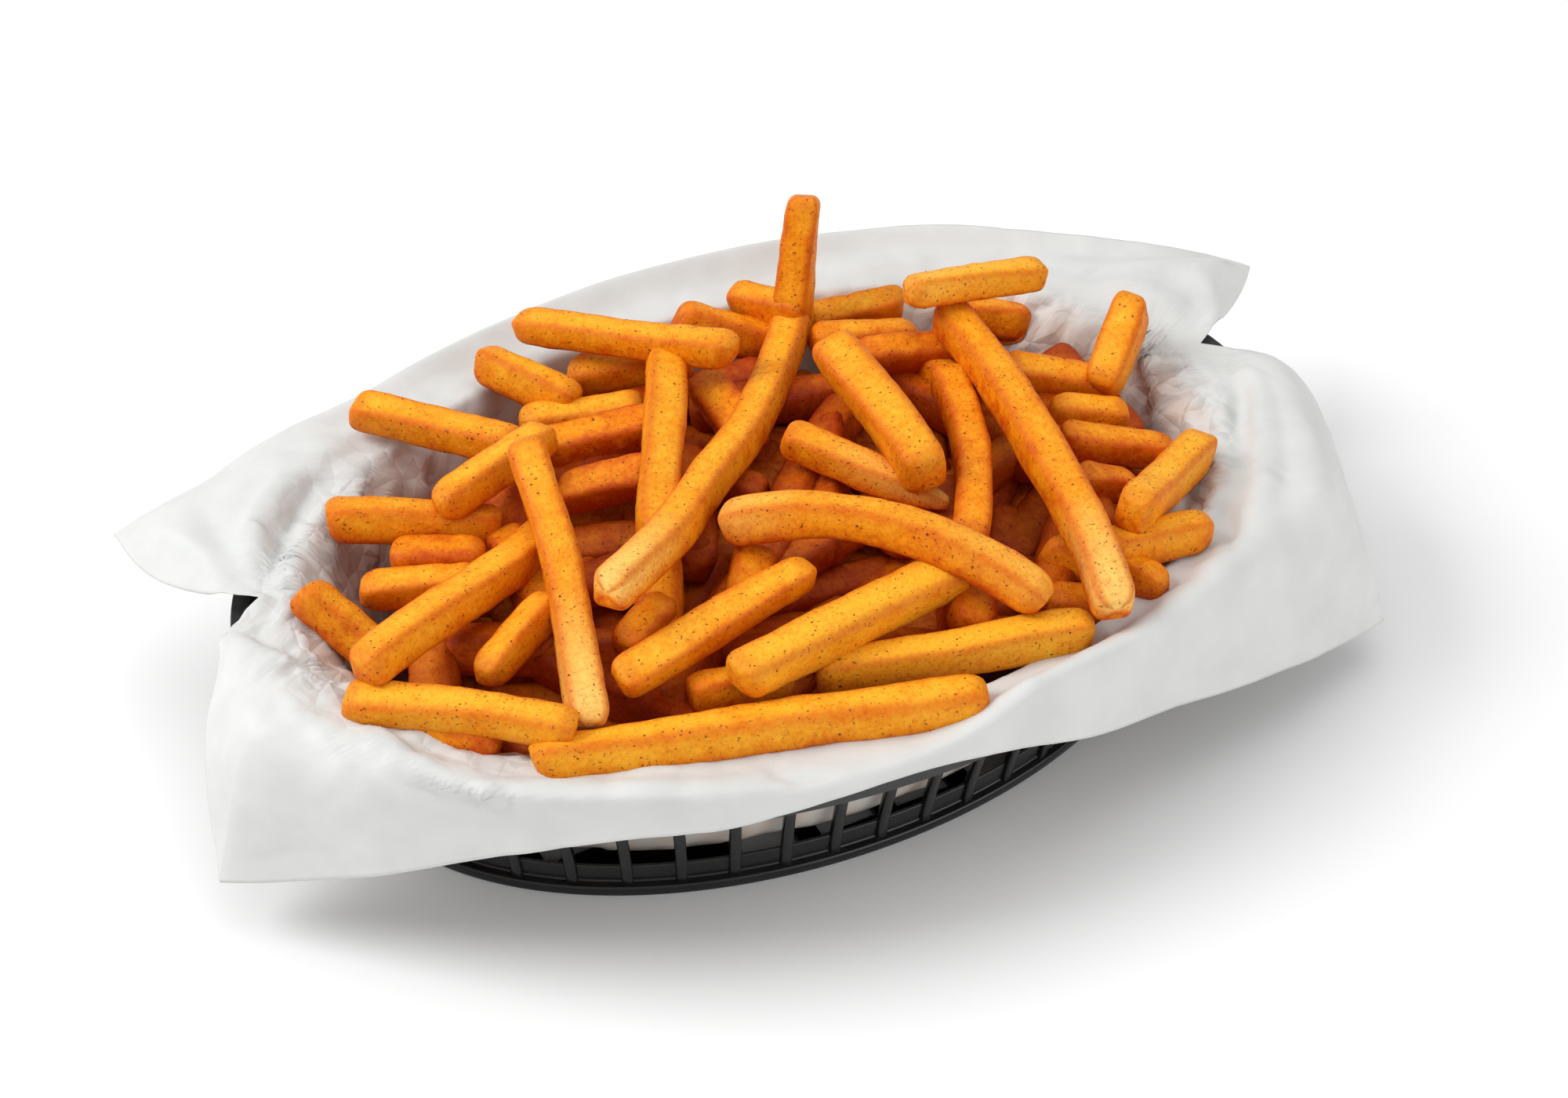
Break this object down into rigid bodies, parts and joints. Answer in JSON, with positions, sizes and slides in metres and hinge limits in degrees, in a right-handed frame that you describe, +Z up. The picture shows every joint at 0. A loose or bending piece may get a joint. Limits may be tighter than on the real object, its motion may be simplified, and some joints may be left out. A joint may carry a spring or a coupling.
{
  "type": "french fries portion",
  "caption": "Seasoned french fries heaped in an oval open-weave plastic serving basket lined with a sheet of white deli paper.",
  "frame": {"origin": "centre of the basket's foot, on the surface it stands on", "axes": "+Z up, +X along the oval's long axis, +Y across it, away from the long side that the picture shows nearer"},
  "size_m": [0.2798, 0.1606, 0.0832],
  "materials": {
    "black_plastic": "moulded black plastic, softly glossy",
    "deli_paper": "white greaseproof deli paper, matt with a faint sheen",
    "fried_potato": "crisp golden fried crust with seasoning, slightly oily"
  },
  "bodies": {
    "root": {"basket": "black_plastic", "liner": "deli_paper", "fries": "fried_potato"}
  },
  "joints": []
}
